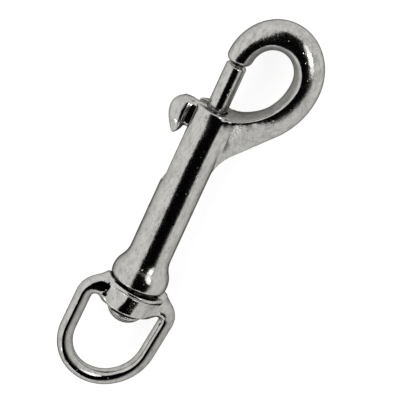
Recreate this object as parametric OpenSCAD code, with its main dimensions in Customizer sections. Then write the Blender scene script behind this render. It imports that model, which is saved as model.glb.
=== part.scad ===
// Swivel snap hook: a cast hook on a round barrel, a sprung bolt that shuts it, and an eye on a swivel.
// The barrel's axis is Y, the hook lies in the XY plane with its curl toward +X, and +Z is up.
// The origin is on the barrel's axis, at the inside of the eye's bow.

/* [Eye] */
// Thickness of the bar that the bow is made of
wire_d = 3.9; // [3:0.1:5]
// Length from the inside of the bow to the foot of the collar
eye_inside_l = 16.8; // [15:0.2:24]
// Centre-line radius of the bow's round end
bow_r = 10.4; // [9:0.1:12.5]
// Lean of each arm away from the axis, in degrees
arm_taper = 2.8; // [0:0.1:4.5]
// Bend radius between an arm and its shoulder
shoulder_r = 4; // [3:0.1:5.5]
// Angle between a shoulder and the axis, in degrees
shoulder_slope = 52; // [44:1:58]
// Distance from the collar's lip down to where a shoulder's centre line meets its side
shoulder_drop = 1.1; // [0.2:0.1:2]
// Height of the collar
collar_h = 6.3; // [5.5:0.1:9]
// Step from the bulb's widest level in to the collar's lip
lip_step = 0.1; // [0:0.05:0.3]
// Diameter of the collar at its foot
collar_foot_d = 9.6; // [8.6:0.1:11.5]
// Thickness of the web that fills the corner between a shoulder and the collar
eye_web_t = 3.6; // [2.4:0.1:3.8]
// Radius of the rounded bead round the lip
lip_r = 0.45; // [0.3:0.05:0.8]
// Turn of the eye about the barrel's axis out of the hook's plane, in degrees
eye_turn = 20; // [0:1:180]
// Lean of the loose eye on its stem, in degrees
eye_lean = 4; // [0:0.5:5]

/* [Swivel] */
// Diameter of the stem that the eye turns on
stem_d = 5; // [4.2:0.1:5.6]
// Diameter of the riveted head under the collar
head_d = 8.8; // [8:0.1:11]
// Height of the riveted head
head_h = 2.8; // [1.8:0.1:3.2]
// Running clearance of the eye on the body
swivel_clear = 0.15; // [0.1:0.05:0.3]
// Least gap between the collar's lip and the bulb
swivel_gap = 0.65; // [0.2:0.05:0.9]

/* [Barrel] */
// Outer diameter of the barrel
barrel_d = 10.2; // [9.4:0.1:11.4]
// Length from the underside of the bulb to the top of the barrel
barrel_l = 47.2; // [45:0.1:58]
// Largest diameter of the bulb at the swivel end
bulb_d = 13.8; // [13:0.1:15.5]
// Radius of the bulb's round side
bulb_side_r = 5.6; // [4.8:0.1:6.2]
// Height of the bulb's widest level above its underside
bulb_widest = 1.5; // [1.2:0.1:2.6]
// Hollow radius between the bulb and the barrel
bulb_fillet_r = 7; // [5:0.1:9]
// Rounding of the barrel's top rim
rim_r = 0.35; // [0.2:0.05:0.6]
// Solid length between the bulb's underside and the floor of the bore
bore_floor_t = 9; // [7:0.5:12]
// Width of the lever's slot
slot_w = 4.2; // [3.4:0.1:4.8]

/* [Hook] */
// Height of the hook's widest level above the top of the barrel
hook_rise = 13.2; // [12.4:0.1:15]
// Clear width inside the curl
gape_w = 10; // [8:0.1:13]
// Clear height inside the curl above its widest level
gape_rise = 5.85; // [4.5:0.05:8]
// Width of the nose
nose_w = 6.2; // [5:0.1:7]
// Thickness of the nose
nose_t = 6.4; // [5:0.1:7.5]
// Rounding of the nose's end
nose_edge_r = 1.4; // [0.8:0.1:2]
// Width of the band at the top of the curl
band_top_w = 7.6; // [6:0.1:9]
// Width of the band at the side of the curl
band_side_w = 7.1; // [6:0.1:8.5]
// Thickness of the band at the side of the curl
band_side_t = 8; // [6.5:0.1:9]
// Inner radius of the sweep from the curl back to the barrel
return_r = 14.3; // [12:0.1:18]
// Angle between the hook's straight back and the barrel's axis, in degrees
back_angle = 40; // [34:1:46]
// Hollow radius between the hook's back and the barrel
back_fillet_r = 12; // [7:0.5:16]

/* [Bolt] */
// Diameter of the bolt
bolt_d = 5; // [4.2:0.1:5.8]
// Length of the bolt that stands out of the barrel when it is shut
bolt_reach = 12.1; // [10.5:0.1:12.6]
// Chamfer round the bolt's tip
bolt_chamfer = 0.85; // [0.4:0.05:1.4]
// Length of the bolt below the top of the barrel when it is shut
bolt_tail_l = 9.4; // [8:0.2:12]
// Travel of the bolt from shut to open
bolt_travel = 14.4; // [12.8:0.2:15]
// Running clearance of the bolt in its bore and of the lever in its slot
bolt_clear = 0.12; // [0.08:0.02:0.2]
// Gap between the bolt's tip and the nose
nose_gap = 0.25; // [0.15:0.05:0.5]

/* [Thumb lever] */
// Length of the lever along the barrel
lever_l = 9.8; // [8:0.2:11]
// Reach of the lever out from the barrel's side
lever_reach = 4.7; // [3.6:0.1:6]
// Width of the lever across the barrel
lever_w = 5.4; // [4.6:0.1:6.6]
// Height along the barrel of the neck that joins the lever to the bolt
lever_neck_h = 7; // [5:0.1:7.6]
// Gap between the lever and the barrel's side
lever_gap = 0.45; // [0.3:0.05:0.8]

/* [Spring] */
// Diameter of the spring's wire
spring_wire_d = 0.7; // [0.5:0.05:0.8]
// Number of turns of the spring
spring_turns = 12; // [9:1:14]
// Gap between the spring and its bore
spring_clear = 0.25; // [0.15:0.05:0.4]

/* [Hidden] */
$fn = 72;
steel = "#c8c9c6";
spring_steel = "#a9abab";

// Diameter of the collar at its lip
collar_lip_d = bulb_d - 2 * lip_step;

// Height of each level above the inside of the bow
foot_y = eye_inside_l;
lip_y = foot_y + collar_h;
head_y = foot_y - head_d / 2 * sin(eye_lean) - swivel_clear;
bulb_y = lip_y + collar_lip_d / 2 * sin(eye_lean) + swivel_gap;
top_y = bulb_y + barrel_l;
curl_y = top_y + hook_rise;
tip_y = top_y + bolt_reach;
nose_y = tip_y + nose_gap;
tail_y = top_y - bolt_tail_l;
bore_floor_y = bulb_y + bore_floor_t;
lever_top_y = top_y - bolt_clear;

// Radii and widths that fit one another
wire_r = wire_d / 2;
barrel_r = barrel_d / 2;
bolt_r = bolt_d / 2;
bore_r = bolt_r + bolt_clear;
neck_w = slot_w - 2 * bolt_clear;
slot_end_y = lever_top_y - lever_neck_h - bolt_travel - bolt_clear;
collar_bore_r = stem_d / 2 / cos(eye_lean) + collar_h / 2 * tan(eye_lean) + swivel_clear;
past = 1;

// Turns a shape that stands on Z so that it stands along Y
module along_y() {
    rotate([-90, 0, 0])
        children();
}

// Solid through a list of rings that have equal numbers of points
module loft(rings) {
    sides = len(rings[0]);
    last = len(rings) - 1;
    points = [for (ring = rings) each ring];
    walls = [
        for (i = [0 : last - 1], j = [0 : sides - 1])
            let (k = (j + 1) % sides, a = i * sides, b = a + sides)
                each [[a + j, b + j, b + k], [a + j, b + k, a + k]]
    ];
    caps = [
        [for (j = [0 : sides - 1]) j],
        [for (j = [sides - 1 : -1 : 0]) last * sides + j]
    ];
    polyhedron(points, concat(walls, caps), convexity = 6);
}

// Power that keeps the sign, for the form of a section
function power(v, n) = sign(v) * pow(abs(v), n);

// One section from an inner point to an outer point of a plane: it is thickest at its crest, a share of the
// width from the inner point, and falls from there to each edge by powers of its own
// A form lists the crest and the powers of the inner face, the outer face and the thickness, where 2 is an
// ellipse and less is nearer a wedge
section_sides = 32;
function section(inner, outer, half_t, form) = [
    for (i = [0 : section_sides - 1])
        let (
            a = i * 360 / section_sides,
            outside = cos(a) > 0,
            crest = form[0],
            u = pow(abs(cos(a)), 2 / (outside ? form[2] : form[1])),
            at = mix(inner, outer, outside ? crest + (1 - crest) * u : crest * (1 - u))
        )
            [at.x, at.y, half_t * power(sin(a), 2 / form[3])]
];

// Forms of the hook at its nose, at the curl's side, where it lands on the barrel, at its web and at its root
// inside the barrel
nose_form = [0.45, 2.6, 3, 2];
side_form = [0.32, 1.6, 1.5, 2];
land_form = [0.12, 1.6, 1.15, 1.5];
web_form = [0.06, 1.6, 1.05, 1.3];
root_form = [0.5, 2, 1.4, 1.6];

function mix(a, b, v) = a + (b - a) * v;
function ellipse_point(c, rx, ry, a) = c + [rx * cos(a), ry * sin(a)];

// Hook: its inner and outer edges run side by side from the nose, round the curl and back into the barrel
gape_r = gape_w / 2;
curl_rx = (nose_w + gape_w + band_side_w) / 2;
curl_ry = gape_rise + band_top_w;
inner_c = [nose_w / 2 + gape_r, curl_y];
outer_c = [curl_rx - nose_w / 2, curl_y];
return_c = [nose_w / 2 + gape_w - return_r, curl_y];
back_r = return_r + band_side_w;
nose_round_y = nose_y + nose_edge_r;
nose_lift = nose_round_y - curl_y;
inner_start = 180 - asin(nose_lift / gape_rise);
outer_start = 180 - asin(nose_lift / curl_ry);

// The inner edge leaves the sweep at this angle and settles onto the barrel's top in one more arc
land_angle = 55;
land_from = ellipse_point(return_c, return_r, return_r, -land_angle);
land_r = (land_from.y - top_y) / (1 - cos(90 - land_angle));
land_c = [land_from.x - land_r * cos(land_angle), top_y + land_r];
land_end = 82;

// The outer edge leaves the sweep in a straight back, and a hollow arc brings it to the barrel's side
back_from = ellipse_point(return_c, back_r, back_r, -back_angle);
root_sink = 0.1;
root_r = barrel_r - root_sink;
back_to_x = root_r + back_fillet_r * (1 - cos(back_angle));
back_to = [back_to_x, back_from.y - (back_from.x - back_to_x) / tan(back_angle)];
root_y = back_to.y - back_fillet_r * sin(back_angle);
root_c = [root_r + back_fillet_r, root_y];
root_half = 2.5;
root_power = 3;
land_inset = 0.5;
land_half = barrel_r - land_inset;
mid_half = (band_side_t / 2 + land_half) / 2;

curl_steps = 22;
return_steps = 10;
back_steps = 5;
nose_steps = 4;

nose_rings = [
    for (i = [nose_steps : -1 : 1])
        let (
            a = i * 90 / nose_steps,
            y = nose_round_y - nose_edge_r * sin(a),
            half_w = nose_w / 2 - nose_edge_r * (1 - cos(a)),
            half_t = nose_t / 2 - nose_edge_r * (1 - cos(a))
        )
            section([half_w, y], [-half_w, y], half_t, nose_form)
];
curl_rings = [
    for (i = [0 : curl_steps])
        let (v = i / curl_steps)
            section(
                ellipse_point(inner_c, gape_r, gape_rise, mix(inner_start, 0, v)),
                ellipse_point(outer_c, curl_rx, curl_ry, mix(outer_start, 0, v)),
                mix(nose_t, band_side_t, v) / 2, mix(nose_form, side_form, sqrt(v))
            )
];
return_rings = [
    for (i = [1 : return_steps])
        let (v = i / return_steps)
            section(
                ellipse_point(return_c, return_r, return_r, -land_angle * v),
                ellipse_point(return_c, back_r, back_r, -back_angle * v),
                mix(band_side_t / 2, mid_half, v), mix(side_form, land_form, v)
            )
];
land_at = ellipse_point(land_c, land_r, land_r, -land_end);
back_rings = [
    for (i = [1 : back_steps])
        let (v = i / back_steps)
            section(
                ellipse_point(land_c, land_r, land_r, -mix(land_angle, land_end, v)),
                mix(back_from, back_to, v),
                mix(mid_half, land_half, v), mix(land_form, web_form, v)
            )
];
root_rings = [
    for (i = [1 : back_steps])
        let (v = i / back_steps, a = 180 - back_angle * (1 - v))
            section(
                [mix(land_at.x, -root_r, v), mix(land_at.y, root_y, pow(v, root_power))],
                ellipse_point(root_c, back_fillet_r, back_fillet_r, a),
                mix(land_half, root_half, v), mix(web_form, root_form, v)
            )
];

module hook_arm() {
    loft(concat(nose_rings, curl_rings, return_rings, back_rings, root_rings));
}

// Half section of the barrel with its bulb, from the axis outward
bulb_c = [bulb_d / 2 - bulb_side_r, bulb_y + bulb_widest];
fillet_x = barrel_r + bulb_fillet_r;
fillet_rise = sqrt(pow(bulb_side_r + bulb_fillet_r, 2) - pow(fillet_x - bulb_c.x, 2));
fillet_c = [fillet_x, bulb_c.y + fillet_rise];

module barrel_profile() {
    translate([0, bulb_y])
        square([barrel_r, barrel_l - rim_r]);
    translate([0, bulb_y])
        square([barrel_r - rim_r, barrel_l]);
    translate([barrel_r - rim_r, top_y - rim_r])
        circle(rim_r);
    intersection() {
        translate(bulb_c)
            circle(bulb_side_r);
        translate([0, bulb_y])
            square([bulb_d, bulb_d]);
    }
    difference() {
        polygon([[0, bulb_c.y], bulb_c, fillet_c, [0, fillet_c.y]]);
        translate(fillet_c)
            circle(bulb_fillet_r);
    }
}

// Stem that the eye turns on, upset to a round head under the collar
head_ball_r = (pow(head_d / 2, 2) + pow(head_h, 2)) / (2 * head_h);

module stem_profile() {
    translate([0, head_y - head_h / 2])
        square([stem_d / 2, bulb_y - head_y + head_h]);
    intersection() {
        translate([0, head_y - head_h + head_ball_r])
            circle(head_ball_r);
        translate([0, head_y - head_h])
            square([head_d, head_h]);
    }
}

module slot_cut() {
    translate([-barrel_d, slot_end_y + slot_w / 2, -slot_w / 2])
        cube([barrel_d, top_y - slot_end_y, slot_w]);
    translate([-barrel_d, slot_end_y + slot_w / 2, 0])
        rotate([0, 90, 0])
            cylinder(d = slot_w, h = barrel_d);
}

module hook_body() {
    color(steel)
        difference() {
            union() {
                along_y()
                    rotate_extrude() {
                        barrel_profile();
                        stem_profile();
                    }
                hook_arm();
            }
            translate([0, bore_floor_y, 0])
                along_y()
                    cylinder(r = bore_r, h = top_y + past - bore_floor_y);
            slot_cut();
        }
}

// Thumb lever: an egg-shaped pad with its crest near the barrel, lofted from its tip to its top
lever_belly = 0.64;
lever_tip_o = 1.9;
lever_tip_in = 1.5;
lever_tip_from = 0.3;
lever_top_o = 1.3;
lever_top_half = 0.95;
lever_tip_half = 0.45;
lever_form = [0.3, 2.3, 1.6, 2];
lever_steps = 18;

function lever_outer(v) = v > lever_belly
    ? mix(lever_top_o, lever_reach, sqrt(1 - pow((v - lever_belly) / (1 - lever_belly), 2)))
    : mix(lever_tip_o, lever_reach, sin(90 * v / lever_belly));
function lever_inner(v) = v > lever_tip_from ? 0 : lever_tip_in * pow(1 - v / lever_tip_from, 2);
function lever_half(v) = v > lever_belly
    ? mix(lever_top_half, lever_w / 2, sqrt(1 - pow((v - lever_belly) / (1 - lever_belly), 2)))
    : mix(lever_tip_half, lever_w / 2, sin(90 * v / lever_belly));

module lever() {
    side_x = barrel_r + lever_gap;
    tip_level = lever_top_y - lever_l;
    loft([
        for (i = [0 : lever_steps])
            let (
                v = (1 - cos(i * 180 / lever_steps)) / 2,
                y = tip_level + lever_l * v
            )
                section(
                    [-side_x - lever_inner(v), y],
                    [-side_x - lever_outer(v), y],
                    lever_half(v), lever_form
                )
    ]);
}

// Neck through the slot, with round ends that match the slot's end
module lever_neck() {
    low_y = lever_top_y - lever_neck_h + neck_w / 2;
    high_y = lever_top_y - neck_w / 2;
    reach = barrel_r + lever_gap + lever_reach / 2;
    translate([-reach, low_y, -neck_w / 2])
        cube([reach, high_y - low_y, neck_w]);
    for (y = [low_y, high_y])
        translate([-reach, y, 0])
            rotate([0, 90, 0])
                cylinder(d = neck_w, h = reach);
}

module bolt() {
    color(steel) {
        along_y()
            rotate_extrude()
                polygon([
                    [0, tail_y],
                    [bolt_r, tail_y],
                    [bolt_r, tip_y - bolt_chamfer],
                    [bolt_r - bolt_chamfer, tip_y],
                    [0, tip_y]
                ]);
        lever_neck();
        lever();
    }
}

// Compression spring with one dead turn at each end
spring_r = bore_r - spring_clear - spring_wire_d / 2;
spring_low_y = bore_floor_y + spring_wire_d / 2;
spring_high_y = tail_y - spring_wire_d / 2;
spring_turn_steps = 16;
spring_sides = 8;
dead_gap = 0.05;
dead_pitch = spring_wire_d + dead_gap;
live_pitch = (spring_high_y - spring_low_y - 2 * dead_pitch) / (spring_turns - 2);

function spring_y(turn) = turn < 1
    ? spring_low_y + turn * dead_pitch
    : turn > spring_turns - 1
        ? spring_high_y - (spring_turns - turn) * dead_pitch
        : spring_low_y + dead_pitch + (turn - 1) * live_pitch;

module return_spring() {
    color(spring_steel)
        loft([
            for (i = [0 : spring_turns * spring_turn_steps])
                let (turn = i / spring_turn_steps, a = -360 * turn)
                    [
                        for (j = [0 : spring_sides - 1])
                            let (
                                b = j * 360 / spring_sides,
                                r = spring_r + spring_wire_d / 2 * cos(b),
                                y = spring_y(turn) + spring_wire_d / 2 * sin(b)
                            )
                                [r * cos(a), y, r * sin(a)]
                    ]
        ]);
}

// Eye: its arms rise from the bow, bend at the shoulders and run into the collar
bow_c = [0, bow_r - wire_r];
arm_from = ellipse_point(bow_c, bow_r, bow_r, -arm_taper);
shoulder_at = [collar_lip_d / 2, lip_y - shoulder_drop];
corner_y = (shoulder_at.x + shoulder_at.y * tan(shoulder_slope) - arm_from.x + arm_from.y * tan(arm_taper))
    / (tan(arm_taper) + tan(shoulder_slope));
corner = [arm_from.x + (corner_y - arm_from.y) * tan(arm_taper), corner_y];
corner_turn = shoulder_slope + arm_taper;
corner_run = shoulder_r * tan(corner_turn / 2);
arm_to = corner - corner_run * [sin(arm_taper), cos(arm_taper)];
bend_c = arm_to + shoulder_r * [-cos(arm_taper), sin(arm_taper)];
shoulder_from = corner + corner_run * [-sin(shoulder_slope), cos(shoulder_slope)];
shoulder_to_x = (collar_bore_r + collar_lip_d / 2) / 2;
shoulder_to = [
    shoulder_to_x,
    shoulder_from.y + (shoulder_from.x - shoulder_to_x) / tan(shoulder_slope)
];

bend_steps = 6;
bow_steps = 26;

// The bar is round at the bottom of the bow and slightly ridged along its arms
bow_form = [0.5, 2, 2, 2];
arm_form = [0.5, 1.6, 1.6, 1.6];
function bar_form(y) = mix(bow_form, arm_form, max(0, min(1, (y + wire_r) / bow_r)));

// Section of the bar that turns about a centre of the eye's plane, on its right or its left side
function bar_ring(c, r, a, side) = section(
    [side * (c.x + (r - wire_r) * cos(a)), c.y + (r - wire_r) * sin(a)],
    [side * (c.x + (r + wire_r) * cos(a)), c.y + (r + wire_r) * sin(a)],
    wire_r, bar_form(c.y + r * sin(a))
);
function bend_ring(v, side) = bar_ring(bend_c, shoulder_r, corner_turn * v - arm_taper, side);
function shoulder_ring(side) = bar_ring(
    shoulder_to - shoulder_r * [cos(shoulder_slope), sin(shoulder_slope)], shoulder_r, shoulder_slope, side
);

// Arms, shoulders and bow are one bar, followed from the right shoulder round to the left one
module eye_bar() {
    loft(concat(
        [shoulder_ring(1)],
        [for (i = [bend_steps : -1 : 0]) bend_ring(i / bend_steps, 1)],
        [
            for (i = [0 : bow_steps])
                bar_ring(bow_c, bow_r, mix(-arm_taper, arm_taper - 180, i / bow_steps), 1)
        ],
        [for (i = [0 : bend_steps]) bend_ring(i / bend_steps, -1)],
        [shoulder_ring(-1)]
    ));
}

// Web between each shoulder and the collar, just clear of the collar's foot and ending inside the bar
eye_web_turn = 36;
eye_web_lift = 0.05;
eye_web_share = 0.6;

module eye_web() {
    inner_x = (collar_bore_r + collar_foot_d / 2) / 2;
    web_y = foot_y + eye_web_lift;
    upper = mix(shoulder_from, shoulder_at, eye_web_share);
    outline = [
        [inner_x, web_y],
        [collar_foot_d / 2, web_y],
        ellipse_point(bend_c, shoulder_r, shoulder_r, eye_web_turn),
        shoulder_from,
        upper,
        [inner_x, upper.y]
    ];
    for (side = [-1, 1])
        linear_extrude(height = eye_web_t, center = true)
            polygon([for (at = outline) [side * at.x, at.y]]);
}

// Half section of the collar: a cone with a rounded bead round its lip
module collar_profile() {
    lip_x = collar_lip_d / 2;
    polygon([
        [0, foot_y],
        [collar_foot_d / 2, foot_y],
        [lip_x - lip_r, lip_y - 2 * lip_r],
        [lip_x - lip_r, lip_y],
        [0, lip_y]
    ]);
    translate([lip_x - lip_r, lip_y - lip_r])
        circle(lip_r);
}

// Room round the bulb, so that the shoulders flank it without touching
module bulb_room() {
    along_y()
        rotate_extrude()
            intersection() {
                translate(bulb_c)
                    circle(bulb_side_r + 2 * swivel_clear);
                translate([0, bulb_y - swivel_clear])
                    square([bulb_d, bulb_d]);
            }
}

module swivel_eye() {
    color(steel)
        difference() {
            rotate([0, eye_turn, 0])
                translate([0, (foot_y + lip_y) / 2, 0])
                    rotate([0, 0, -eye_lean])
                        translate([0, -(foot_y + lip_y) / 2, 0])
                            difference() {
                                union() {
                                    along_y()
                                        rotate_extrude()
                                            collar_profile();
                                    eye_bar();
                                    eye_web();
                                }
                                translate([0, foot_y - past, 0])
                                    along_y()
                                        cylinder(r = collar_bore_r, h = lip_y - foot_y + 2 * past + bulb_d);
                            }
            bulb_room();
        }
}

hook_body();
bolt();
return_spring();
swivel_eye();
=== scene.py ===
import math

import bpy
import numpy as np
from mathutils import Matrix, Vector


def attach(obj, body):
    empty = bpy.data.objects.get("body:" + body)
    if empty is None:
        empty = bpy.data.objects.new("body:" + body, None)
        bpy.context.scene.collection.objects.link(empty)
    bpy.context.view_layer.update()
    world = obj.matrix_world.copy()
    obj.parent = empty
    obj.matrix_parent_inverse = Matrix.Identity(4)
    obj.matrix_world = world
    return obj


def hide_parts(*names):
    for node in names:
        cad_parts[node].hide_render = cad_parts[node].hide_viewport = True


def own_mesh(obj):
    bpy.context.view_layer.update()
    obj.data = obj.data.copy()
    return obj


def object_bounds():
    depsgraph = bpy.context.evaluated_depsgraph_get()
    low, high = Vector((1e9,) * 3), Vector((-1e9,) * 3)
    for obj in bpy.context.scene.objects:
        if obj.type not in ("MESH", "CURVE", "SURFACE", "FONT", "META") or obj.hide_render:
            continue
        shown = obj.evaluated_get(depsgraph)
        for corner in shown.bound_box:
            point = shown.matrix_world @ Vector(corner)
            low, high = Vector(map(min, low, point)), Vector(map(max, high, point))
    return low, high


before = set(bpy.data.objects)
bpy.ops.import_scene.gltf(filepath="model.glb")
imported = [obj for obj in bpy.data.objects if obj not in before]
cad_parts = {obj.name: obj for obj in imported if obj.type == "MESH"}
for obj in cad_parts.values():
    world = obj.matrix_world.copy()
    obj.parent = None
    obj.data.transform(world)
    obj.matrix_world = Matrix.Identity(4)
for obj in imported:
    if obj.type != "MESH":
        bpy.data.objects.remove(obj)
cad_low, cad_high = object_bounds()

# Sizes of the snap in millimetres, the same as its solids have
MM = 0.001

# Eye: a bow of round bar, its shoulders and its collar, and how it lies in the photo
eye_inside_l = 16.8
wire_d = 3.9
bow_r = 10.4
arm_taper = 2.8
shoulder_r = 4.0
shoulder_slope = 52.0
shoulder_drop = 1.1
collar_h = 6.3
collar_foot_d = 9.6
lip_r = 0.45
eye_turn = 20.0
eye_lean = 4.0

# Swivel: the stem and its riveted head
stem_d = 5.0
head_d = 8.8
head_h = 2.8
swivel_clear = 0.15
swivel_gap = 0.65

# Barrel, with its bulb, bore and slot
barrel_d = 10.2
barrel_l = 47.2
bulb_d = 13.8
lip_step = 0.1
collar_lip_d = bulb_d - 2 * lip_step
bulb_side_r = 5.6
bulb_widest = 1.5
bulb_fillet_r = 7.0
rim_r = 0.35
bore_floor_t = 9.0
slot_w = 4.2

# Hook: its nose, curl, return and back
hook_rise = 13.2
gape_w = 10.0
gape_rise = 5.85
nose_w = 6.2
nose_t = 6.4
nose_edge_r = 1.4
nose_gap = 0.25
band_top_w = 7.6
band_side_w = 7.1
band_side_t = 8.0
return_r = 14.3
back_angle = 40.0
back_fillet_r = 12.0

# Bolt, its lever and its spring
bolt_d = 5.0
bolt_reach = 12.1
bolt_chamfer = 0.85
bolt_tail_l = 9.4
bolt_travel = 14.4
bolt_clear = 0.12
lever_l = 9.8
lever_reach = 4.7
lever_w = 5.4
lever_neck_h = 7.0
lever_gap = 0.45
spring_wire_d = 0.7
spring_turns = 12
spring_clear = 0.25

# Levels above the inside of the bow, and radii that fit one another
foot_y = eye_inside_l
lip_y = foot_y + collar_h
pivot_y = (foot_y + lip_y) / 2
lean = math.radians(eye_lean)
head_y = foot_y - head_d / 2 * math.sin(lean) - swivel_clear
bulb_y = lip_y + collar_lip_d / 2 * math.sin(lean) + swivel_gap
top_y = bulb_y + barrel_l
curl_y = top_y + hook_rise
tip_y = top_y + bolt_reach
nose_y = tip_y + nose_gap
tail_y = top_y - bolt_tail_l
bore_floor_y = bulb_y + bore_floor_t
lever_top_y = top_y - bolt_clear
wire_r = wire_d / 2
barrel_r = barrel_d / 2
bolt_r = bolt_d / 2
bore_r = bolt_r + bolt_clear
neck_w = slot_w - 2 * bolt_clear
slot_end_y = lever_top_y - lever_neck_h - bolt_travel - bolt_clear
collar_bore_r = stem_d / 2 / math.cos(lean) + collar_h / 2 * math.tan(lean) + swivel_clear

# Each cast piece is worked out on a grid a little larger than itself: its two corners and its step
HOOK_GRID = ((-7.8, 13.0, -7.8), (21.0, 99.0, 7.8), 0.28)
BOLT_GRID = ((-11.2, tail_y - 0.6, -3.4), (3.2, tip_y + 0.6, 3.4), 0.16)
EYE_GRID = ((-13.6, -4.8, -7.4), (13.6, 31.0, 7.4), 0.2)
# The solids are faceted, so the smooth faces lie this far inside their sizes
inset = 0.015
# Small numbers that keep a division away from nought
flat_guard = 1e-6
steep_guard = 1e-9


# Distance fields: below nought inside a shape, and about the distance in millimetres outside it
class Grid:
    """Even grid of points over a box, in millimetres."""

    def __init__(self, low, high, step):
        self.low = np.array(low, np.float32)
        self.step = step
        counts = np.ceil((np.array(high) - self.low) / step).astype(int) + 1
        lines = [self.low[i] + step * np.arange(counts[i], dtype=np.float32) for i in range(3)]
        self.x, self.y, self.z = np.meshgrid(*lines, indexing="ij", sparse=True)


def mix(a, b, v):
    return a + (b - a) * v


def union_round(a, b, r):
    """Union with a hollow fillet of radius r."""
    return np.maximum(r, np.minimum(a, b)) - np.hypot(np.maximum(r - a, 0), np.maximum(r - b, 0))


def common_round(a, b, r):
    """What two shapes have in common, its edge rounded with radius r."""
    return np.minimum(-r, np.maximum(a, b)) + np.hypot(np.maximum(r + a, 0), np.maximum(r + b, 0))


def smooth_max(a, b, k):
    """Greater of two values, rounded off where they differ by less than k."""
    h = np.clip(0.5 + (a - b) / (2 * k), 0, 1)
    return mix(b, a, h) + k * h * (1 - h)


def as_distance(value, step, near=1.0, far=1.2):
    """Turns a level function into a distance close to its zero surface."""
    slope = np.sqrt(sum(g * g for g in np.gradient(value, step))) + flat_guard
    distance = value / slope
    return np.where(value > near, np.maximum(distance, far), distance)


def box_2d(u, v, half_u, half_v):
    du = np.abs(u) - half_u
    dv = np.abs(v) - half_v
    return np.hypot(np.maximum(du, 0), np.maximum(dv, 0)) + np.minimum(np.maximum(du, dv), 0)


# Meshes: each grid cell that a surface crosses gives one point, and each crossed grid line one face
CORNERS = np.array([(i, j, k) for i in (0, 1) for j in (0, 1) for k in (0, 1)])
EDGES = [
    (a, b)
    for a in range(len(CORNERS))
    for b in range(a + 1, len(CORNERS))
    if np.abs(CORNERS[a] - CORNERS[b]).sum() == 1
]
RING = ((1, 1), (0, 1), (0, 0), (1, 0))
# The points then move onto the surface, in this many steps
SETTLE_STEPS = 2


def sample(values, points):
    """Values of a grid between its points, which are given in steps of the grid."""
    base = np.clip(np.floor(points).astype(int), 0, np.array(values.shape) - 2)
    part = points - base
    total = 0
    for corner in CORNERS:
        weight = np.prod(np.where(corner, part, 1 - part), axis=1)
        total = total + weight * values[tuple((base + corner).T)]
    return total


def crossing_points(field, cells):
    """Middle of the places where the surface crosses each cell's edges."""
    values = np.stack([field[tuple((cells + c).T)] for c in CORNERS], axis=1)
    total = np.zeros((len(cells), 3))
    hits = np.zeros(len(cells))
    for a, b in EDGES:
        cross = (values[:, a] < 0) != (values[:, b] < 0)
        gap = np.where(cross, values[:, a] - values[:, b], 1)
        share = (values[:, a] / gap)[:, None]
        total += cross[:, None] * (CORNERS[a] + share * (CORNERS[b] - CORNERS[a]))
        hits += cross
    return cells + total / hits[:, None]


def crossing_faces(inside, index):
    """Faces round the grid lines that the surface crosses, facing out."""
    size = np.array(inside.shape) - 1
    faces = []
    for axis in range(3):
        u, v = (axis + 1) % 3, (axis + 2) % 3
        spots = np.argwhere(inside != np.roll(inside, -1, axis))
        keep = (spots[:, axis] < size[axis]) & (spots[:, u] > 0) & (spots[:, v] > 0)
        keep &= (spots[:, u] < size[u]) & (spots[:, v] < size[v])
        spots = spots[keep]
        ring = []
        for du, dv in RING:
            cell = spots.copy()
            cell[:, u] -= du
            cell[:, v] -= dv
            ring.append(index[tuple(cell.T)])
        face = np.stack(ring, axis=1)
        flip = ~inside[tuple(spots.T)]
        face[flip] = face[flip][:, ::-1]
        faces.append(face)
    return np.concatenate(faces)


def surface(grid, field):
    """Points, four-sided faces and normals of a field's zero surface."""
    field = field + inset
    inside = field < 0
    size = np.array(field.shape) - 1
    count = sum(
        inside[i:i + size[0], j:j + size[1], k:k + size[2]].astype(np.uint8) for i, j, k in CORNERS
    )
    active = (count > 0) & (count < len(CORNERS))
    cells = np.argwhere(active)
    index = np.full(active.shape, -1)
    index[active] = np.arange(len(cells))
    points = crossing_points(field, cells)
    slopes = np.gradient(field, grid.step)
    for _ in range(SETTLE_STEPS):
        normals = np.stack([sample(g, points) for g in slopes], axis=1)
        steepness = np.sum(normals * normals, axis=1, keepdims=True) + steep_guard
        points = points - sample(field, points)[:, None] * normals / steepness / grid.step
    normals /= np.linalg.norm(normals, axis=1, keepdims=True) + steep_guard
    return grid.low + points * grid.step, crossing_faces(inside, index), normals


def piece(name, points, faces, normals=None):
    """Smooth mesh object from points in millimetres."""
    mesh = bpy.data.meshes.new(name)
    mesh.from_pydata((np.asarray(points) * MM).tolist(), [], np.asarray(faces).tolist())
    mesh.shade_smooth()
    if normals is not None:
        mesh.normals_split_custom_set_from_vertices(normals.tolist())
    obj = bpy.data.objects.new(name, mesh)
    bpy.context.scene.collection.objects.link(obj)
    return obj


def attribute(obj, name, values):
    data = obj.data.attributes.new(name, "FLOAT", "POINT")
    data.data.foreach_set("value", np.asarray(values, np.float32))


# Hook arm: stations along its run, each with an inner and an outer point and the form of its section.
# The forms are those at the nose, the side of the curl, the landing, the web and the root
NOSE, SIDE, LAND, WEB, ROOT = range(5)
# Place of the thickest point, from the inner edge to the outer one
crest_at = (0.45, 0.32, 0.09, 0.03, 0.5)
# Powers of the inner face, the outer face and the thickness
inner_round = (2.6, 1.6, 1.6, 1.6, 2.0)
outer_round = (3.0, 1.5, 1.15, 1.05, 1.4)
thick_round = (2.0, 2.0, 1.5, 1.3, 1.6)
# Place of the edge line between the ground inner face and the polished outer one
edge_at = (0.3, 0.28, 0.06, 0.015, 0.0)
edge_least = 0.05
inner_flat = 0.06

land_t = 9.2
land_angle = 55.0
land_end = 82.0
root_t = 5.0
root_sink = 0.1
root_bend = 3
sink_half = 1.0
sink_l = 12.0

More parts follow.
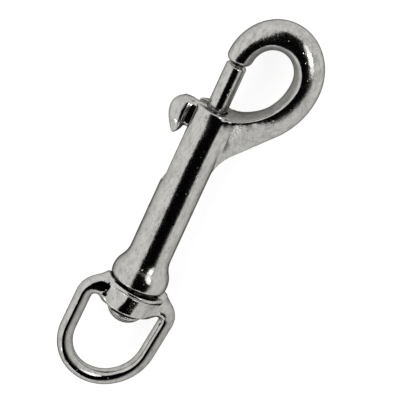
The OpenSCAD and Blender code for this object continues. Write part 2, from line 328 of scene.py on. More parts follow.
# Stations of each stretch, and where they start in it, so that no two lie in one place
NOSE_RUN = (12, 0.0)
CURL_RUN = (150, 0.005)
RETURN_RUN = (70, 0.01)
LAND_RUN = (40, 0.02)
ROOT_RUN = (40, 0.02)
SINK_RUN = (30, 0.02)

# Centres and radii of the arm's arcs
gape_r = gape_w / 2
curl_rx = (nose_w + gape_w + band_side_w) / 2
curl_ry = gape_rise + band_top_w
inner_c = (nose_w / 2 + gape_r, curl_y)
outer_c = (curl_rx - nose_w / 2, curl_y)
return_c = (nose_w / 2 + gape_w - return_r, curl_y)
back_r = return_r + band_side_w
root_r = barrel_r - root_sink
mid_half_t = (band_side_t + land_t) / 4


def arc(c, rx, ry, degrees):
    a = np.radians(degrees)
    return np.stack([c[0] + rx * np.cos(a), c[1] + ry * np.sin(a)], axis=1)


def arc_point(c, r, degrees):
    return arc(c, r, r, np.array([degrees]))[0]


def line(a, b, v):
    return np.asarray(a) + (np.asarray(b) - np.asarray(a)) * v[:, None]


def run(count, start):
    return np.linspace(start, 1, count)


def stretch(inner, outer, half_t, kind_a, kind_b, v):
    """Stations between two kinds of section."""
    forms = (crest_at, inner_round, outer_round, thick_round, edge_at)
    return np.column_stack([inner, outer, half_t, *(mix(f[kind_a], f[kind_b], v) for f in forms)])


def upper_arm():
    """The nose and the curl, down to the curl's side."""
    start_y = nose_y + nose_edge_r
    low = start_y - 2 * nose_edge_r
    v = run(*NOSE_RUN)
    nose = stretch(
        line((nose_w / 2, low), (nose_w / 2, start_y), v),
        line((-nose_w / 2, low), (-nose_w / 2, start_y), v),
        np.full(len(v), nose_t / 2), NOSE, NOSE, v,
    )
    lift = start_y - curl_y
    inner_start = 180 - math.degrees(math.asin(lift / gape_rise))
    outer_start = 180 - math.degrees(math.asin(lift / curl_ry))
    v = run(*CURL_RUN)
    curl = stretch(
        arc(inner_c, gape_r, gape_rise, mix(inner_start, 0, v)),
        arc(outer_c, curl_rx, curl_ry, mix(outer_start, 0, v)),
        mix(nose_t, band_side_t, v) / 2, NOSE, SIDE, np.sqrt(v),
    )
    return [nose, curl]


def lower_arm():
    """The return, the landing on the barrel's rim and the root along its side."""
    v = run(*RETURN_RUN)
    side_band = stretch(
        arc(return_c, return_r, return_r, -land_angle * v),
        arc(return_c, back_r, back_r, -back_angle * v),
        mix(band_side_t / 2, mid_half_t, v), SIDE, LAND, v,
    )
    land_a = math.radians(land_angle)
    back_a = math.radians(back_angle)
    land_from = arc_point(return_c, return_r, -land_angle)
    land_r = (land_from[1] - top_y) / (1 - math.cos(math.pi / 2 - land_a))
    land_c = (land_from[0] - land_r * math.cos(land_a), top_y + land_r)
    back_from = arc_point(return_c, back_r, -back_angle)
    back_to_x = root_r + back_fillet_r * (1 - math.cos(back_a))
    back_to = (back_to_x, back_from[1] - (back_from[0] - back_to_x) / math.tan(back_a))
    v = run(*LAND_RUN)
    landing = stretch(
        arc(land_c, land_r, land_r, -mix(land_angle, land_end, v)),
        line(back_from, back_to, v),
        mix(mid_half_t, land_t / 2, v), LAND, WEB, v,
    )
    land_at = arc_point(land_c, land_r, -land_end)
    root_y = back_to[1] - back_fillet_r * math.sin(back_a)
    v = run(*ROOT_RUN)
    root = stretch(
        np.column_stack([mix(land_at[0], -root_r, v), mix(land_at[1], root_y, v ** root_bend)]),
        arc((root_r + back_fillet_r, root_y), back_fillet_r, back_fillet_r, 180 - back_angle * (1 - v)),
        mix(land_t, root_t, v) / 2, WEB, ROOT, v,
    )
    # Inside the barrel it thins out, so that its end leaves no mark
    v = run(*SINK_RUN)
    half = mix(root_r, sink_half, v)
    deep = root_y - sink_l * v
    sink = stretch(
        np.column_stack([-half, deep]), np.column_stack([half, deep]),
        half * root_t / 2 / root_r, ROOT, ROOT, v,
    )
    return [side_band, landing, root, sink]


far_across = 9.0
across_range = (-1.5, 2.5)


def arm_map(stations, x, y):
    """Where each point of the hook's plane lies from inner to outer edge, and at which station."""
    across = np.full(np.broadcast(x, y).shape, far_across, np.float32)
    place = np.zeros_like(across)
    inner = stations[:, 0:2]
    outer = stations[:, 2:4]
    way = outer - inner
    unit = way / np.linalg.norm(way, axis=1, keepdims=True)
    for i in range(len(stations) - 1):
        before = unit[i, 0] * (y - inner[i, 1]) - unit[i, 1] * (x - inner[i, 0])
        after = unit[i + 1, 0] * (y - inner[i + 1, 1]) - unit[i + 1, 1] * (x - inner[i + 1, 0])
        between = (before <= 0) & (after > 0)
        if not between.any():
            continue
        part = np.where(between, before / np.where(between, before - after, 1), 0)
        ax = mix(inner[i, 0], inner[i + 1, 0], part)
        ay = mix(inner[i, 1], inner[i + 1, 1], part)
        wx = mix(way[i, 0], way[i + 1, 0], part)
        wy = mix(way[i, 1], way[i + 1, 1], part)
        u = ((x - ax) * wx + (y - ay) * wy) / (wx * wx + wy * wy)
        better = between & (np.abs(u - 0.5) < np.abs(across - 0.5))
        across = np.where(better, u, across)
        place = np.where(better, i + part, place)
    return across, place


def arm_depth(x, y):
    """Square of the arm's half thickness in the hook's plane, and how far past its edge line a point is."""
    stations = np.concatenate(upper_arm() + lower_arm())
    across, place = arm_map(stations, x, y)
    numbers = np.arange(len(stations))
    half_t, crest, inner_p, outer_p, thick_p, edge = [
        np.interp(place, numbers, column) for column in stations[:, 4:].T
    ]
    across = np.clip(across, *across_range)
    outer_side = across > crest
    u = np.where(outer_side, (across - crest) / (1 - crest), (crest - across) / crest)
    # The face inside the edge line is ground a little flatter
    flatter = 1 - inner_flat * np.clip((edge - across) / np.maximum(edge, edge_least), 0, 1)
    left = 1 - u ** np.where(outer_side, outer_p, inner_p)
    depth = (half_t * flatter) ** 2 * np.sign(left) * np.abs(left) ** (2 / thick_p)
    return depth.astype(np.float32), across - edge


# Hook body: barrel, bulb, stem with its riveted head, and the hook arm, with the bore and the slot cut out
bulb_edge_r = 0.3
head_edge_r = 0.25
stem_sink = 1.0
cut_edge_r = 0.25
cut_over = 3.0
cut_far = 9.0
# How far round the nose its end's rounding reaches: to the side, up and down
nose_reach = (1.0, 2.0, 3.0)
# Level, in square millimetres, past which a field only has to be large
depth_near = 25.0
# How softly the arm's web runs into the barrel's side
web_blend_share = 1.4
web_blend_least = 0.5
web_blend_most = 28.0
web_rim_r = 0.9
# Where the casting is dull: the face inside the hook's edge line, and a little on the barrel's top
arm_skin = 0.12
edge_polish = 0.06
top_dull = 0.4
top_band = 0.3
top_facing = 0.8


def barrel_field(r, y):
    rod = box_2d(r, y - (bulb_y + top_y) / 2, barrel_r - rim_r, barrel_l / 2 - rim_r) - rim_r
    bulb_x = bulb_d / 2 - bulb_side_r
    bulb_c = bulb_y + bulb_widest
    ball = np.hypot(np.maximum(r - bulb_x, 0), y - bulb_c) - bulb_side_r
    bulb = common_round(ball, bulb_y - y, bulb_edge_r)
    # A hollow arc between the bulb and the barrel, where the two centres' line ends it
    hollow_x = barrel_r + bulb_fillet_r
    hollow_rise = math.sqrt((bulb_side_r + bulb_fillet_r) ** 2 - (hollow_x - bulb_x) ** 2)
    hollow = bulb_fillet_r - np.hypot(r - hollow_x, y - bulb_c - hollow_rise)
    share = (y - bulb_c) / hollow_rise
    in_hollow = (share > 0) & (share < 1) & (r < mix(bulb_x, hollow_x, share))
    body = np.where(in_hollow, hollow, np.minimum(rod, bulb))
    body = np.maximum(body, bulb_y - y)
    stem = box_2d(r, y - (head_y + bulb_y) / 2, stem_d / 2, (bulb_y - head_y) / 2 + stem_sink)
    ball_r = ((head_d / 2) ** 2 + head_h ** 2) / (2 * head_h)
    dome = np.hypot(r, y - (head_y - head_h + ball_r)) - ball_r
    head = common_round(dome, y - head_y, head_edge_r)
    return np.minimum(body, np.minimum(stem, head))


def bore_and_slot(x, y, z):
    bore = np.maximum(np.hypot(x, z) - bore_r, bore_floor_y - y)
    stadium = np.hypot(np.minimum(y - slot_end_y - slot_w / 2, 0), z) - slot_w / 2
    cut = np.minimum(bore, np.maximum(stadium, x))
    return np.where(y > top_y + cut_over, cut_far, cut)


def arm_field(grid, depth):
    """The hook arm, cut off square and rounded at its nose."""
    arm = as_distance(grid.z ** 2 - depth[:, :, None], grid.step, near=depth_near)
    beside, above, below = nose_reach
    at_nose = (grid.x < nose_w / 2 + beside) & (grid.y < curl_y + above) & (grid.y > tip_y - below)
    nose_end = np.broadcast_to(nose_y - grid.y, arm.shape)
    return np.where(at_nose, common_round(arm, nose_end, nose_edge_r), arm)


def web_field(grid, depth):
    """The arm's web below the barrel's rim, which runs smoothly into the barrel's side."""
    side = barrel_r ** 2 - grid.x[:, :, 0] ** 2
    blend = np.clip(web_blend_share * np.maximum(side, depth), web_blend_least, web_blend_most)
    depth = smooth_max(side, depth, blend)
    web = as_distance(grid.z ** 2 - depth[:, :, None], grid.step, near=depth_near)
    return common_round(web, np.maximum(grid.y - top_y, bulb_y + bulb_d - grid.y), web_rim_r)


def hook_dullness(grid, arm, past_edge, points, normals):
    spots = (points - grid.low) / grid.step
    flat = np.repeat(past_edge[:, :, None], 2, axis=2)
    inner = sample(flat, np.column_stack([spots[:, :2], np.zeros(len(spots))]))
    on_arm = sample(arm, spots) < arm_skin
    on_top = (np.abs(points[:, 1] - top_y) < top_band) & (normals[:, 1] > top_facing)
    dull_and_shade = np.where(on_arm, np.clip(-inner / edge_polish, 0, 1), 0)
    return np.where(on_top, top_dull, dull_and_shade)


def hook_body():
    grid = Grid(*HOOK_GRID)
    depth, past_edge = arm_depth(grid.x[:, :, 0], grid.y[:, :, 0])
    arm = arm_field(grid, depth)
    barrel = barrel_field(np.hypot(grid.x, grid.z), grid.y)
    body = np.minimum(np.minimum(arm, web_field(grid, depth)), barrel)
    body = common_round(body, -bore_and_slot(grid.x, grid.y, grid.z), cut_edge_r)
    points, faces, normals = surface(grid, body.astype(np.float32))
    obj = piece("hook_casting", points, faces, normals)
    attribute(obj, "dull_and_shade", hook_dullness(grid, arm, past_edge, points, normals))
    return obj


# Bolt: a round rod with a chamfered tip, and its thumb lever on a neck
tip_edge_r = 0.12
neck_fillet_r = 0.45
# The lever is widest at its belly, and thins toward its top and its tip
lever_belly = 0.64
lever_tip_o = 1.9
lever_tip_in = 1.5
lever_tip_from = 0.3
lever_top_o = 1.3
lever_top_half = 0.95
lever_tip_half = 0.45
lever_crest = 0.3
lever_inner_round = 2.3
lever_outer_round = 1.6
lever_edge_r = 0.5


def lever_field(x, y, z, step):
    side_x = barrel_r + lever_gap
    v = np.clip((y - (lever_top_y - lever_l)) / lever_l, 0, 1)
    above = np.sqrt(np.maximum(1 - (np.maximum(v - lever_belly, 0) / (1 - lever_belly)) ** 2, 0))
    below = np.sin(np.pi / 2 * np.minimum(v / lever_belly, 1))
    swell = np.where(v > lever_belly, above, below)
    outer = mix(np.where(v > lever_belly, lever_top_o, lever_tip_o), lever_reach, swell)
    half = mix(np.where(v > lever_belly, lever_top_half, lever_tip_half), lever_w / 2, swell)
    inner = lever_tip_in * np.maximum(1 - v / lever_tip_from, 0) ** 2
    u = (-x - side_x - inner) / (outer - inner)
    out = u > lever_crest
    u = np.where(out, (u - lever_crest) / (1 - lever_crest), (lever_crest - u) / lever_crest)
    value = u ** np.where(out, lever_outer_round, lever_inner_round) + np.abs(z / half) ** 2 - 1
    pad = as_distance(value.astype(np.float32), step)
    ends = np.maximum(y - lever_top_y, lever_top_y - lever_l - y)
    return common_round(pad, np.broadcast_to(ends, pad.shape), lever_edge_r)


def bolt():
    grid = Grid(*BOLT_GRID)
    r = np.hypot(grid.x, grid.z)
    rod = box_2d(r, grid.y - (tail_y + tip_y) / 2, bolt_r, (tip_y - tail_y) / 2)
    chamfer = ((r - bolt_r) + (grid.y - tip_y) + bolt_chamfer) / math.sqrt(2)
    rod = common_round(rod, chamfer, tip_edge_r)
    neck_y = lever_top_y - lever_neck_h / 2
    half_h = lever_neck_h / 2 - neck_w / 2
    stadium = np.hypot(np.maximum(np.abs(grid.y - neck_y) - half_h, 0), grid.z) - neck_w / 2
    reach = barrel_r + lever_gap + lever_reach / 2
    neck = np.maximum(stadium, np.maximum(-reach - grid.x, grid.x))
    pad = lever_field(grid.x, grid.y, grid.z, grid.step)
    handle = union_round(pad, np.broadcast_to(neck, pad.shape), neck_fillet_r)
    body = np.minimum(handle, rod).astype(np.float32)
    return piece("bolt_with_lever", *surface(grid, body))


# Eye: a collar on the stem, and a bow of round bar that runs into it at the shoulders
shoulder_sink = 1.0
bow_steps = 60
bend_steps = 24
# Section of the bar along its arms: on top its crest lies to the left, with a steep left face and a flat
# right face, and below it is the other way round
round_power = 2.0
arm_crest = -0.5
arm_left = 1.3
arm_right = 2.4
arm_slim = 0.05
# The flat face is rougher and painted darker, the darkening a painted shade, from near its crest on
matte_and_shade_most = 0.9
matte_and_shade_from = 0.12
matte_and_shade_full = 0.5
matte_and_shade_fade = 0.6
# Webs between the shoulders and the collar, and the fillets where they and the bar meet it
plate_t = 3.6
plate_slope = 22.0
plate_r = 1.2
web_r = 3.4
bar_r = 1.4
foot_edge_r = 0.3
lip_fillet_r = 0.3
collar_edge_r = 0.2
collar_bore_over = 2.0


def bar_line():
    """Half of the bar's centre line, from the bottom of the bow to the collar, in the eye's own plane."""
    taper = math.radians(arm_taper)
    slope = math.radians(shoulder_slope)
    bow_c = np.array([0, bow_r - wire_r])
    arm_from = bow_c + bow_r * np.array([math.cos(taper), -math.sin(taper)])
    at = np.array([collar_lip_d / 2, lip_y - shoulder_drop])
    corner_y = ((at[0] + at[1] * math.tan(slope) - arm_from[0] + arm_from[1] * math.tan(taper))
                / (math.tan(taper) + math.tan(slope)))
    corner = np.array([arm_from[0] + (corner_y - arm_from[1]) * math.tan(taper), corner_y])
    corner_run = shoulder_r * math.tan((slope + taper) / 2)
    arm_to = corner - corner_run * np.array([math.sin(taper), math.cos(taper)])
    bend_c = arm_to + shoulder_r * np.array([-math.cos(taper), math.sin(taper)])
    bow = arc(bow_c, bow_r, bow_r, np.linspace(-90, -arm_taper, bow_steps))
    bend = arc(bend_c, shoulder_r, shoulder_r, np.linspace(-arm_taper, shoulder_slope, bend_steps))
    end = at + shoulder_sink * np.array([-math.sin(slope), math.cos(slope)])
    return np.concatenate([bow, bend, [end]])


def path_distance(points, x, y):
    """Distance from a path, above nought on its right-hand side, and how steeply the path rises there."""
    best = np.full(np.broadcast(x, y).shape, np.inf)
    right = np.zeros_like(best)
    rise = np.zeros_like(best)
    for a, b in zip(points[:-1], points[1:]):
        way = b - a
        v = np.clip(((x - a[0]) * way[0] + (y - a[1]) * way[1]) / (way @ way), 0, 1)
        away = np.hypot(x - a[0] - v * way[0], y - a[1] - v * way[1])
        nearer = away < best
        best = np.where(nearer, away, best)
        right = np.where(nearer, np.sign((x - a[0]) * way[1] - (y - a[1]) * way[0]), right)
        rise = np.where(nearer, way[1] / np.hypot(*way), rise)
    return best * right, rise


def bar_field(grid):
    """The eye's bar, and a mask of its flat face, which is rougher and painted darker as painted shade."""
    x, y, z = grid.x, grid.y, grid.z
    flat, rise = path_distance(bar_line(), np.abs(x[:, :, 0]), y[:, :, 0])
    rise = rise[:, :, None]
    u = flat[:, :, None] / (wire_r - arm_slim * rise)
    u = u * np.where(x > 0, 1, -1) * np.where(z < 0, -1, 1)
    crest = arm_crest * rise
    on_right = u > crest
    ridge = mix(round_power, np.where(on_right, arm_right, arm_left), rise)
    u = np.where(on_right, (u - crest) / (1 - crest), (crest - u) / (1 + crest))
    matte_and_shade = np.where(on_right, np.clip((u - matte_and_shade_from) / (matte_and_shade_full - matte_and_shade_from), 0, 1), 0)
    bar = as_distance(u ** ridge + (z / wire_r) ** 2 - 1, grid.step)
    return bar, matte_and_shade_most * matte_and_shade * rise


def collar_field(r, y):
    """A cone with a rounded bead round its lip."""
    slant = math.atan2((collar_lip_d - collar_foot_d) / 2 - lip_r, collar_h - 2 * lip_r)
    side = (r - collar_foot_d / 2) * math.cos(slant) - (y - foot_y) * math.sin(slant)
    cone = common_round(np.maximum(side, y - lip_y + lip_r), foot_y - y, foot_edge_r)
    lip = np.hypot(np.maximum(r - collar_lip_d / 2 + lip_r, 0), y - lip_y + lip_r) - lip_r
    return union_round(cone, lip, lip_fillet_r)


def plate_field(x, y, z):
    """Webs that fill the corners between the shoulders and the collar."""
    slope = math.radians(shoulder_slope)
    fall = math.radians(plate_slope)
    below = (np.abs(x) - collar_foot_d / 2) * math.sin(fall) - (y - foot_y) * math.cos(fall)
    above = ((np.abs(x) - collar_lip_d / 2) * math.cos(slope)
             + (y - lip_y + shoulder_drop) * math.sin(slope))
    plate = common_round(np.maximum(below, above), np.abs(z) - plate_t / 2, plate_r)
    return np.maximum(plate, y - lip_y + lip_r)


def bulb_room(x, y, z):
    """Room for the bulb, which the loose eye leans against."""
    bulb_ax = x * math.cos(lean) + (y - pivot_y) * math.sin(lean)
    bulb_ay = -x * math.sin(lean) + (y - pivot_y) * math.cos(lean) + pivot_y
    r = np.hypot(bulb_ax, z)
    ball = np.hypot(np.maximum(r - bulb_d / 2 + bulb_side_r, 0), bulb_ay - bulb_y - bulb_widest)
    return np.maximum(ball - bulb_side_r - 2 * swivel_clear, bulb_y - swivel_clear - bulb_ay)


def swivel_eye():
    grid = Grid(*EYE_GRID)
    x, y, z = grid.x, grid.y, grid.z
    r = np.hypot(x, z)
    bar, bar_matte_and_shade = bar_field(grid)
    plate = plate_field(x, y, z)
    body = union_round(np.broadcast_to(collar_field(r, y), plate.shape), plate, web_r)
    # The fillet ends level with the collar's foot and top, clear of the riveted head and the bulb
    body = np.maximum(body, y - lip_y)
    body = common_round(body, np.broadcast_to(foot_y - y, body.shape), foot_edge_r)
    body = union_round(body, bar, bar_r)
    bore = np.maximum(r - collar_bore_r, foot_y - collar_bore_over - y)
    body = common_round(body, -np.minimum(bore, bulb_room(x, y, z)), collar_edge_r)
    points, faces, normals = surface(grid, body.astype(np.float32))
    spots = (points - grid.low) / grid.step
    # Painted shade: the bar's flat faces are painted darker, and made rougher, fading out away from the bar
    matte_and_shade = sample(bar_matte_and_shade, spots) * np.clip(1 - sample(bar, spots) / matte_and_shade_fade, 0, 1)
    # The eye leans and is turned, as in the photo
    turn = Matrix.Rotation(math.radians(eye_turn), 3, "Y") @ Matrix.Rotation(-lean, 3, "Z")
    turn = np.array(turn)
    middle = np.array([0, pivot_y, 0])
    points = (points - middle) @ turn.T + middle
    obj = piece("eye_casting", points, faces, normals @ turn.T)
    attribute(obj, "dull_and_shade", matte_and_shade)
    return obj


# Return spring: round wire on a helix, with a dead turn at each end
spring_turn_steps = 40
spring_sides = 14
dead_gap = 0.05


def return_spring():
    wire = spring_wire_d / 2
    r = bore_r - spring_clear - wire
    low = bore_floor_y + wire
    high = tail_y - wire
    dead = spring_wire_d + dead_gap
    turns = np.linspace(0, spring_turns, spring_turns * spring_turn_steps + 1)
    y = np.interp(turns, [0, 1, spring_turns - 1, spring_turns], [low, low + dead, high - dead, high])
    a = -2 * np.pi * turns[:, None]
    b = np.linspace(0, 2 * np.pi, spring_sides, endpoint=False)[None, :]
    ring = r + wire * np.cos(b)
    height = y[:, None] + wire * np.sin(b)
    points = np.stack([ring * np.cos(a), height, ring * np.sin(a)], axis=2)
    around = np.arange(spring_sides)
    ahead = (around + 1) % spring_sides
    starts = spring_sides * np.arange(len(turns) - 1)[:, None]
    faces = np.stack(
        [starts + around, starts + ahead, starts + spring_sides + ahead, starts + spring_sides + around],
        axis=2,
    )
    obj = piece("spring_wire", points.reshape(-1, 3), faces.reshape(-1, 4))
    obj.data.validate()
    return obj


# Shader nodes
def feed(tree, socket, value):
    """Links another node's output to a socket, or sets the socket to a plain value."""
    if isinstance(value, bpy.types.NodeSocket):
        tree.links.new(value, socket)
    else:
        socket.default_value = value


def node(tree, kind, x, y, *inputs, **values):
    """New node. Its first inputs come in their order, and its settings and other inputs by name."""
    made = tree.nodes.new(kind)
    made.location = (x, y)
    for name, value in values.items():
        if hasattr(made, name):
            setattr(made, name, value)
        else:
            feed(tree, made.inputs[name], value)
    for socket, value in zip(made.inputs, inputs):
        feed(tree, socket, value)
    return made


def calc(tree, operation, x, y, *inputs):
    return node(tree, "ShaderNodeMath", x, y, *inputs, operation=operation).outputs[0]


def map_range(tree, x, y, value, ends, levels, **settings):
    """Takes a value from one pair of ends to a pair of levels."""
    return node(tree, "ShaderNodeMapRange", x, y, value, *ends, *levels, **settings).outputs[0]


def empty_tree(owner):
    owner.use_nodes = True
    owner.node_tree.nodes.clear()
    return owner.node_tree


# Steel: textures' scales are per metre, and the depths of its pits and of its unevenness in metres
WHOLE = (0.0, 1.0)
GRAIN = {"Scale": 1500.0, "Detail": 3.0, "Roughness": 0.65}
CLOUD = {"Scale": 900.0, "Detail": 5.0, "Roughness": 0.85}
WAVE = {"Scale": 350.0, "Detail": 2.0, "Roughness": 0.5}
CLOUD_STRETCH = (1.0, 0.4, 1.0)
CLOUD_ENDS = (0.36, 0.56)
CLOUD_SHADE = 0.66
# Deeper tone where the attribute says: the hook's dull ground faces, and painted shade on the eye bar's
# flat faces
DULL_AND_SHADE_TONE = (0.82, 0.82, 0.82, 1)
EDGE_TINT = (0.1, 0.1, 0.1, 1)
POLISH_LEAST = 0.6
POLISH_MOST = 1.5
PIT_SCALE = 700.0
PIT_ENDS = (0.0, 0.16)
PIT_STRENGTH = 0.8
PIT_DEPTH = 0.00006


def steel_colour(tree, where, dull_and_shade, colour):
    """Clouds, drawn out along the barrel the way it was polished, and a deeper tone where the attribute
    says: on the hook's dull faces, and as painted shade on the eye bar's flat faces.
    """
    drawn_out = node(tree, "ShaderNodeMapping", -1050, -50, Vector=where, Scale=CLOUD_STRETCH)
    cloud = node(tree, "ShaderNodeTexNoise", -900, -50, Vector=drawn_out.outputs[0], **CLOUD)
    shade = node(tree, "ShaderNodeValToRGB", -600, -50, Fac=cloud.outputs["Fac"])
    for stop, place, level in zip(shade.color_ramp.elements, CLOUD_ENDS, (CLOUD_SHADE, 1.0)):
        stop.position = place
        stop.color = (*[level * c for c in colour], 1)
    tone = node(tree, "ShaderNodeMix", -300, 0, data_type="RGBA", blend_type="MULTIPLY",
                Factor=dull_and_shade, A=shade.outputs["Color"], B=DULL_AND_SHADE_TONE)
    return tone.outputs["Result"]


def steel_relief(tree, where, grain, uneven):
    """Pits, a slow wave and a fine grain, one bump on another."""
    pits = node(tree, "ShaderNodeTexVoronoi", -900, -550, Vector=where, Scale=PIT_SCALE)
    wave = node(tree, "ShaderNodeTexNoise", -900, -300, Vector=where, **WAVE)
    pit = map_range(tree, -600, -550, pits.outputs["Distance"], PIT_ENDS, WHOLE)
    pit_bump = node(tree, "ShaderNodeBump", -300, -550, Height=pit,
                    Strength=PIT_STRENGTH, Distance=PIT_DEPTH)
    wave_bump = node(tree, "ShaderNodeBump", 0, -400, Height=wave.outputs["Fac"],
                     Normal=pit_bump.outputs[0], Strength=1.0, Distance=uneven)
    grain_bump = node(tree, "ShaderNodeBump", 300, -300, Height=grain,
                      Normal=wave_bump.outputs[0], Strength=1.0, Distance=uneven)
    return grain_bump.outputs[0]


def steel_material(name, colour, rough, dull_rough, uneven):
    """Cast steel, polished to an uneven mirror, with pits, and duller and darker where the attribute says
    so: the hook's dull faces, and painted shade on the eye bar's flat faces.
    """
    made = bpy.data.materials.new(name)
    tree = empty_tree(made)
    where = node(tree, "ShaderNodeTexCoord", -1200, 0).outputs["Object"]
    # The attribute holds the hook's dull faces and the eye bar's painted shade
    dull_and_shade = node(tree, "ShaderNodeAttribute", -1200, -500, attribute_name="dull_and_shade").outputs["Fac"]
    grain = node(tree, "ShaderNodeTexNoise", -900, 200, Vector=where, **GRAIN).outputs["Fac"]
    polish = map_range(tree, -600, 200, grain, WHOLE, (POLISH_LEAST * rough, POLISH_MOST * rough))
    steel = node(tree, "ShaderNodeBsdfPrincipled", 600, 0, Metallic=1.0, **{
        "Specular Tint": EDGE_TINT,
        "Base Color": steel_colour(tree, where, dull_and_shade, colour),
        "Roughness": map_range(tree, -300, 200, dull_and_shade, WHOLE, (polish, dull_rough)),
        "Normal": steel_relief(tree, where, grain, uneven),
    })
    node(tree, "ShaderNodeOutputMaterial", 900, 0, steel.outputs[0])
    return made


STEEL = (0.485, 0.475, 0.455)
WIRE = (0.5, 0.5, 0.5)
polished = steel_material("polished_steel", STEEL, rough=0.13, dull_rough=0.42, uneven=0.00003)
polished_eye = steel_material("polished_steel_eye", STEEL, rough=0.06, dull_rough=0.42, uneven=0.00001)
drawn = steel_material("spring_steel", WIRE, rough=0.22, dull_rough=0.4, uneven=0.00004)

# The pieces, each on its body and in place of its solid
PIECES = (
    (hook_body, "hook", "hook_body", polished, "polished_steel"),
    (bolt, "bolt", "bolt", polished, "polished_steel"),
    (swivel_eye, "eye", "swivel_eye", polished_eye, "polished_steel"),
    (return_spring, "hook", "return_spring", drawn, "spring_steel"),
)
for make, body, solid, material, slot in PIECES:
    made = make()
    made.data.materials.append(material)
    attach(made, body)
    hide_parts(solid)
    if make is return_spring:
        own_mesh(made)

# Floor: pale paper, which the camera and the metal see as nearly white
PAPER = (0.42, 0.42, 0.42, 1)
PAPER_GLOW = 0.8
FLOOR_HALF = 4.0


def floor_material():
    made = bpy.data.materials.new("floor")
    tree = empty_tree(made)
    paper = node(tree, "ShaderNodeBsdfDiffuse", 0, 100, Color=PAPER)
    path = node(tree, "ShaderNodeLightPath", -600, -100).outputs
    seen = calc(tree, "MAXIMUM", -300, -100, path["Is Camera Ray"], path["Is Glossy Ray"])
    seen = calc(tree, "MAXIMUM", -100, -200, seen, path["Is Transmission Ray"])
    level = calc(tree, "MULTIPLY", 0, -350, seen, PAPER_GLOW)
    glow = node(tree, "ShaderNodeEmission", 100, -100, Color=(1, 1, 1, 1), Strength=level)
    both = node(tree, "ShaderNodeAddShader", 400, 0, paper.outputs[0], glow.outputs[0])
    node(tree, "ShaderNodeOutputMaterial", 700, 0, both.outputs[0])
    return made


floor_z = cad_low.z
floor_mesh = bpy.data.meshes.new("floor")
floor_mesh.from_pydata(
    [(i * FLOOR_HALF, j * FLOOR_HALF, floor_z) for i, j in ((-1, -1), (1, -1), (1, 1), (-1, 1))],
    [], [(0, 1, 2, 3)],
)
floor_mesh.materials.append(floor_material())
floor = bpy.data.objects.new("floor", floor_mesh)
bpy.context.scene.collection.objects.link(floor)

# World: a white tent with a dark opening above the snap. A direction is given by how far it goes across
# (+X) and along (+Y) on its way up by 1, and each soft edge by a place outside it and one inside it
HORIZON = 0.02
OPENING_LEFT = (-0.36, -0.30)
OPENING_RIGHT = (1.85, 0.95)
OPENING_FAR = (0.98, 0.8)
OPENING_END = (-0.03, 0.03)
# The opening's lower end is a bent line: deepest on the left, then slanting down to the right
STEEP_ENDS = (-0.1, 0.3)
STEEP_LEVELS = (-2.6, -1.2)
SLANT_ENDS = (0.0, 1.0)
SLANT_LEVELS = (-1.2, -1.82)
# A strip of the tent shines just below that end
STRIP_LOW = (-0.34, -0.2)
STRIP_HIGH = (-0.01, -0.05)
STRIP_RIGHT = (0.95, 0.7)
STRIP_LEFT = (0.2, 0.4)
STRIP_SHINE = 1.4
# The tent is a little brighter on the left
WALL_ENDS = (-0.8, 0.8)
WALL_LEVELS = (1.46, 1.28)


def inside_edges(tree, y, edges):
    """One where all the values are past their edges, nought where one of them isn't, and soft between."""
    total = None
    for i, (value, (out, within)) in enumerate(edges):
        ends, levels = ((out, within), WHOLE) if out < within else ((within, out), WHOLE[::-1])
        mask = map_range(tree, -300, y - 250 * i, value, ends, levels, interpolation_type="SMOOTHSTEP")
        total = mask if total is None else calc(tree, "MULTIPLY", 200 * i, y, total, mask)
    return total


def studio_world():
    world = bpy.data.worlds.new("studio")
    bpy.context.scene.world = world
    tree = empty_tree(world)
    toward = node(tree, "ShaderNodeTexCoord", -1200, 0).outputs["Generated"]
    split = node(tree, "ShaderNodeSeparateXYZ", -1000, 0, toward).outputs
    height = calc(tree, "MAXIMUM", -800, -200, split["Z"], HORIZON)
    across = calc(tree, "DIVIDE", -600, 200, split["X"], height)
    along = calc(tree, "DIVIDE", -600, -100, split["Y"], height)
    steep = map_range(tree, -600, -400, across, STEEP_ENDS, STEEP_LEVELS)
    slant = map_range(tree, -600, -650, across, SLANT_ENDS, SLANT_LEVELS, clamp=False)
    lower_end = calc(tree, "MINIMUM", -450, -500, steep, slant)
    above_end = calc(tree, "SUBTRACT", -400, -400, along, lower_end)
    dark = inside_edges(tree, 500, (
        (across, OPENING_LEFT), (across, OPENING_RIGHT), (above_end, OPENING_END), (along, OPENING_FAR),
    ))
    strip = inside_edges(tree, -500, (
        (above_end, STRIP_LOW), (above_end, STRIP_HIGH), (across, STRIP_RIGHT), (across, STRIP_LEFT),
    ))
    wall = map_range(tree, 700, 300, across, WALL_ENDS, WALL_LEVELS)
    tent = map_range(tree, 900, 100, dark, WHOLE, (wall, 0.0))
    bright = calc(tree, "MULTIPLY_ADD", 1050, -100, strip, STRIP_SHINE, tent)
    sky = node(tree, "ShaderNodeBackground", 1200, 0, Strength=bright)
    node(tree, "ShaderNodeOutputWorld", 1400, 0, sky.outputs[0])


studio_world()

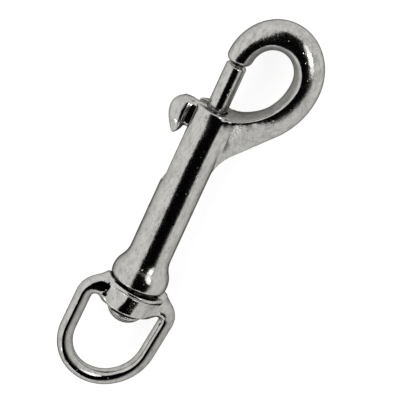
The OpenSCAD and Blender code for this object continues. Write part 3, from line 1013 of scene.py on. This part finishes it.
# Lamps: name, direction from the snap, distance and size in metres, and watts
LAMP_TARGET = Vector((0.004, 0.05, 0))
RIGHT_WAY = (0.61, 0.33, 0.72)
LEFT_WAY = (-0.36, -0.85, 0.37)
LAMPS = (
    ("right_lamp", RIGHT_WAY, 0.8, (0.12, 0.08), 0.5),
    ("right_glow", RIGHT_WAY, 0.82, (0.6, 0.3), 0.85),
    ("left_lamp", LEFT_WAY, 0.8, (0.05, 0.05), 0.06),
)


def lamp(name, toward, distance, size, watts):
    """Soft oval lamp that faces the snap."""
    data = bpy.data.lights.new(name, "AREA")
    data.shape = "ELLIPSE"
    data.size, data.size_y = size
    data.energy = watts
    obj = bpy.data.objects.new(name, data)
    way = Vector(toward).normalized()
    obj.location = LAMP_TARGET + way * distance
    obj.rotation_euler = way.to_track_quat("Z", "Y").to_euler()
    obj.visible_camera = False
    bpy.context.scene.collection.objects.link(obj)


for row in LAMPS:
    lamp(*row)

# Camera: above the snap and toward its hook, turned so that the barrel leans in the picture
VIEW_TILT = math.radians(20.0)
PICTURE_LEAN = math.radians(24.74)
PICTURE_PIXELS = 400
PIXELS_PER_MM = 4.3
PICTURE_WIDTH = PICTURE_PIXELS / PIXELS_PER_MM * MM
PICTURE_CENTRE = Vector((5.3 * MM, 49.1 * MM, 0))
CAMERA_DISTANCE = 1.2
CAMERA_REACH = 50
SENSOR_WIDTH = 36.0

to_camera = Vector((0, math.sin(VIEW_TILT), math.cos(VIEW_TILT)))
picture_y = Vector((0, math.cos(VIEW_TILT), -math.sin(VIEW_TILT)))
picture_x = Vector((1, 0, 0))
up = math.cos(PICTURE_LEAN) * picture_y - math.sin(PICTURE_LEAN) * picture_x
right = math.sin(PICTURE_LEAN) * picture_y + math.cos(PICTURE_LEAN) * picture_x
camera_data = bpy.data.cameras.new("camera")
camera_data.sensor_width = SENSOR_WIDTH
camera_data.lens = SENSOR_WIDTH * CAMERA_DISTANCE / PICTURE_WIDTH
camera_data.clip_end = CAMERA_REACH
camera = bpy.data.objects.new("camera", camera_data)
bpy.context.scene.collection.objects.link(camera)
turn = Matrix((right, up, to_camera)).transposed()
camera.matrix_world = Matrix.Translation(PICTURE_CENTRE + to_camera * CAMERA_DISTANCE) @ turn.to_4x4()
bpy.context.scene.camera = camera
bpy.context.scene.view_settings.view_transform = "Standard"
